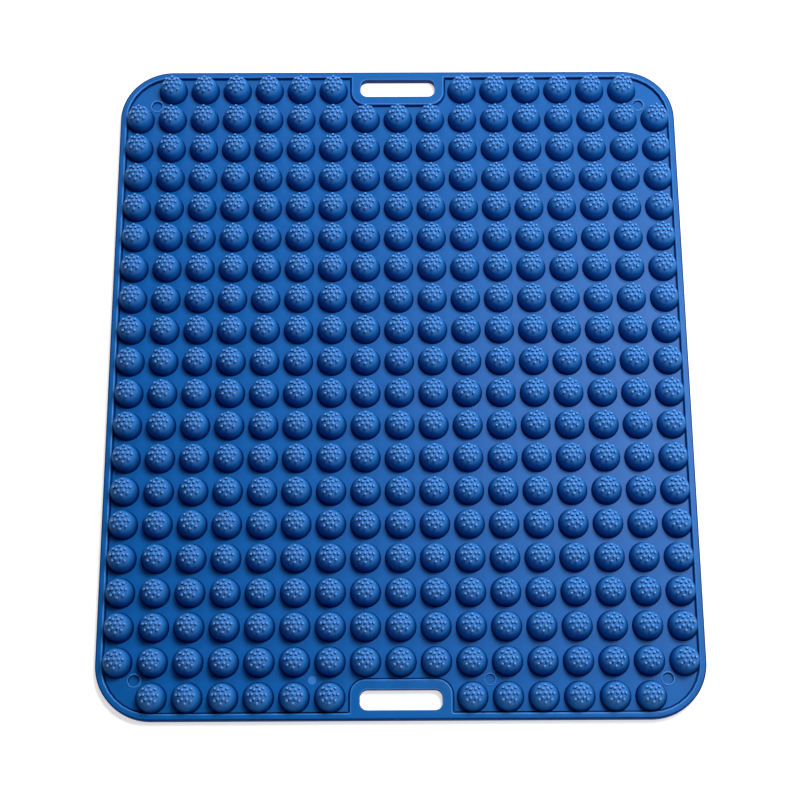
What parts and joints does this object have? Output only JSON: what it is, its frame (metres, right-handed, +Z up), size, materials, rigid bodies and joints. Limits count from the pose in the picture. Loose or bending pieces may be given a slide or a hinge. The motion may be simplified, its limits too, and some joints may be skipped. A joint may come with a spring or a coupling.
{
  "type": "foot massage mat",
  "caption": "Flat silicone foot massage mat with rows of nubbed domes inside a raised rim, round corners and a finger slot in a raised frame at each end.",
  "frame": {"origin": "middle of the flat underside, on the surface that the mat lies on", "axes": "+Z up from the underside to the domes, +Y along the mat's length towards the rear handle slot, +X across it to the right"},
  "size_m": [0.43, 0.507, 0.0183],
  "materials": {
    "blue_silicone": "satin, soft-touch moulded silicone"
  },
  "bodies": {
    "root": {"base_sheet": "blue_silicone", "rim": "blue_silicone", "rear_handle_frame": "blue_silicone", "front_handle_frame": "blue_silicone", "dome_row_01_left": "blue_silicone", "dome_row_01_right": "blue_silicone", "dome_row_02": "blue_silicone", "dome_row_03": "blue_silicone", "dome_row_04": "blue_silicone", "dome_row_05": "blue_silicone", "dome_row_06": "blue_silicone", "dome_row_07": "blue_silicone", "dome_row_08": "blue_silicone", "dome_row_09": "blue_silicone", "dome_row_10": "blue_silicone", "dome_row_11": "blue_silicone", "dome_row_12": "blue_silicone", "dome_row_13": "blue_silicone", "dome_row_14": "blue_silicone", "dome_row_15": "blue_silicone", "dome_row_16": "blue_silicone", "dome_row_17": "blue_silicone", "dome_row_18": "blue_silicone", "dome_row_19": "blue_silicone", "dome_row_20_left": "blue_silicone", "dome_row_20_right": "blue_silicone"}
  },
  "joints": []
}
